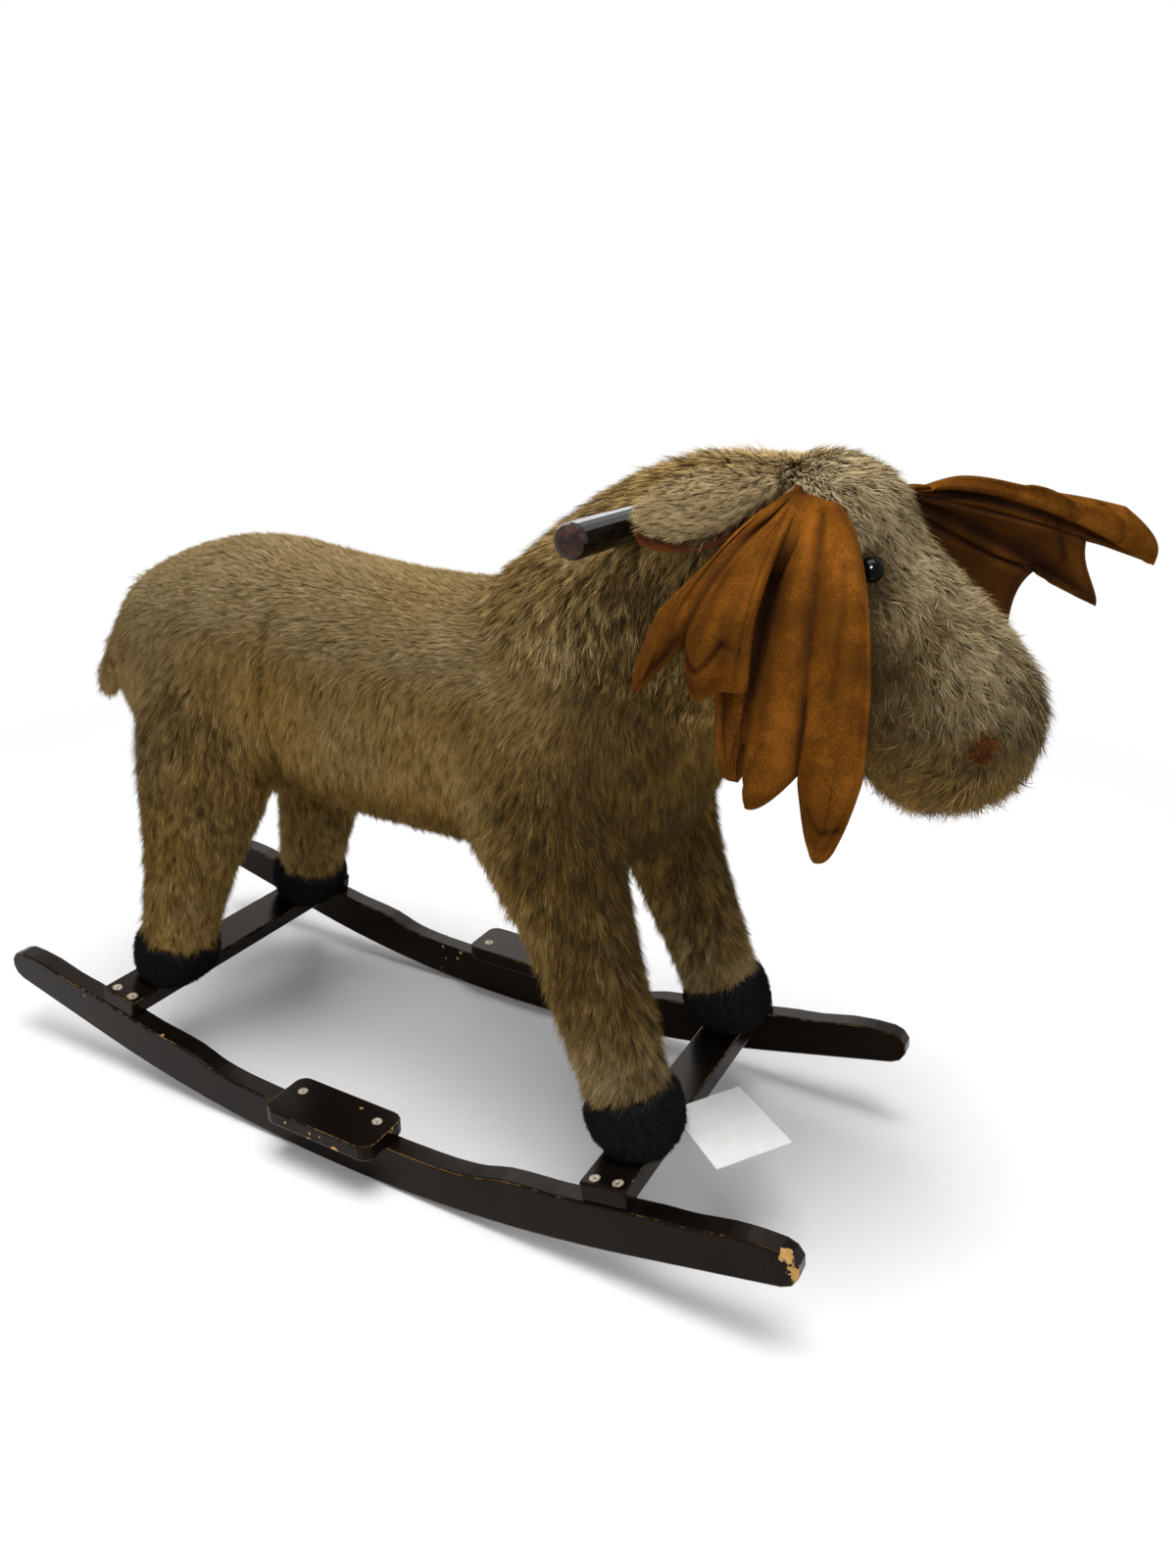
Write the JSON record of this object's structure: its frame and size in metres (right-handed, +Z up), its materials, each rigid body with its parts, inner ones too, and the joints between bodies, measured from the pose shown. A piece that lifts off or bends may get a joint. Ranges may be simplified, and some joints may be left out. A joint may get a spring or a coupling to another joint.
{
  "type": "plush rocking animal",
  "caption": "Plush rocking moose with sewn palmate antlers and a dowel handle through its neck, on curved lacquered rockers joined by cross slats, with footrests.",
  "frame": {"origin": "on the floor line under the middle of the whole length, at the lowest point of the rockers", "axes": "+X the way the animal faces, +Y its left side, +Z up"},
  "size_m": [0.9013, 0.346, 0.5789],
  "materials": {
    "lacquer": "gloss espresso lacquer on solid wood, chipped at its edges",
    "brass": "dull brassed wood screws",
    "timber": "bare softwood, hidden",
    "plush": "matted khaki fur fabric over stuffing",
    "hoof_plush": "black short pile",
    "suede": "caramel faux suede, padded and stitched",
    "lining": "rust cloth",
    "eye": "gloss black",
    "felt": "rust felt",
    "card": "plain white card"
  },
  "bodies": {
    "moose": {"rocker_right": "lacquer", "rocker_left": "lacquer", "cross_slat_front": "lacquer", "cross_slat_rear": "lacquer", "footrest_right": "lacquer", "footrest_left": "lacquer", "handle_bar": "lacquer", "slat_screw_front_right_inner": "brass", "slat_screw_front_right_outer": "brass", "slat_screw_front_left_inner": "brass", "slat_screw_front_left_outer": "brass", "slat_screw_rear_right_inner": "brass", "slat_screw_rear_right_outer": "brass", "slat_screw_rear_left_inner": "brass", "slat_screw_rear_left_outer": "brass", "footrest_screw_front_right": "brass", "footrest_screw_rear_right": "brass", "footrest_screw_front_left": "brass", "footrest_screw_rear_left": "brass", "post_screw_front_right": "brass", "post_screw_front_left": "brass", "post_screw_rear_right": "brass", "post_screw_rear_left": "brass", "back_board": "timber", "neck_post": "timber", "leg_post_front_right": "timber", "leg_post_front_left": "timber", "leg_post_rear_right": "timber", "leg_post_rear_left": "timber", "torso": "plush", "neck": "plush", "head": "plush", "leg_front_right": "plush", "leg_front_left": "plush", "leg_rear_right": "plush", "leg_rear_left": "plush", "hoof_front_right": "hoof_plush", "hoof_front_left": "hoof_plush", "hoof_rear_right": "hoof_plush", "hoof_rear_left": "hoof_plush", "eye_right": "eye", "eye_left": "eye", "nostril_patch_right": "felt", "nostril_patch_left": "felt", "hang_tag": "card"},
    "antler_right": {"antler_right": "suede"},
    "antler_left": {"antler_left": "suede"},
    "ear_right": {"ear_right": "plush", "ear_lining_right": "lining"},
    "ear_left": {"ear_left": "plush", "ear_lining_left": "lining"},
    "tail": {"tail": "plush"}
  },
  "joints": [
    {"name": "antler_right_swing", "type": "hinge", "parent": "moose", "child": "antler_right", "pos_m": [0.26962, -0.05278, 0.55692], "axis": [-0.9394, 0.1926, 0.2838], "range_deg": [0, 30]},
    {"name": "antler_left_lift", "type": "hinge", "parent": "moose", "child": "antler_left", "pos_m": [0.26962, 0.05278, 0.55692], "axis": [0.9394, 0.1926, -0.2838], "range_deg": [0, 30]},
    {"name": "ear_right_lift", "type": "hinge", "parent": "moose", "child": "ear_right", "pos_m": [0.24444, -0.04389, 0.56429], "axis": [-0.7314, 0.6157, 0.2932], "range_deg": [0, 35]},
    {"name": "ear_left_lift", "type": "hinge", "parent": "moose", "child": "ear_left", "pos_m": [0.24444, 0.04389, 0.56429], "axis": [0.7314, 0.6157, -0.2932], "range_deg": [0, 35]},
    {"name": "tail_lift", "type": "hinge", "parent": "moose", "child": "tail", "pos_m": [-0.36324, 0, 0.42797], "axis": [0, 1, 0], "range_deg": [0, 60]}
  ]
}
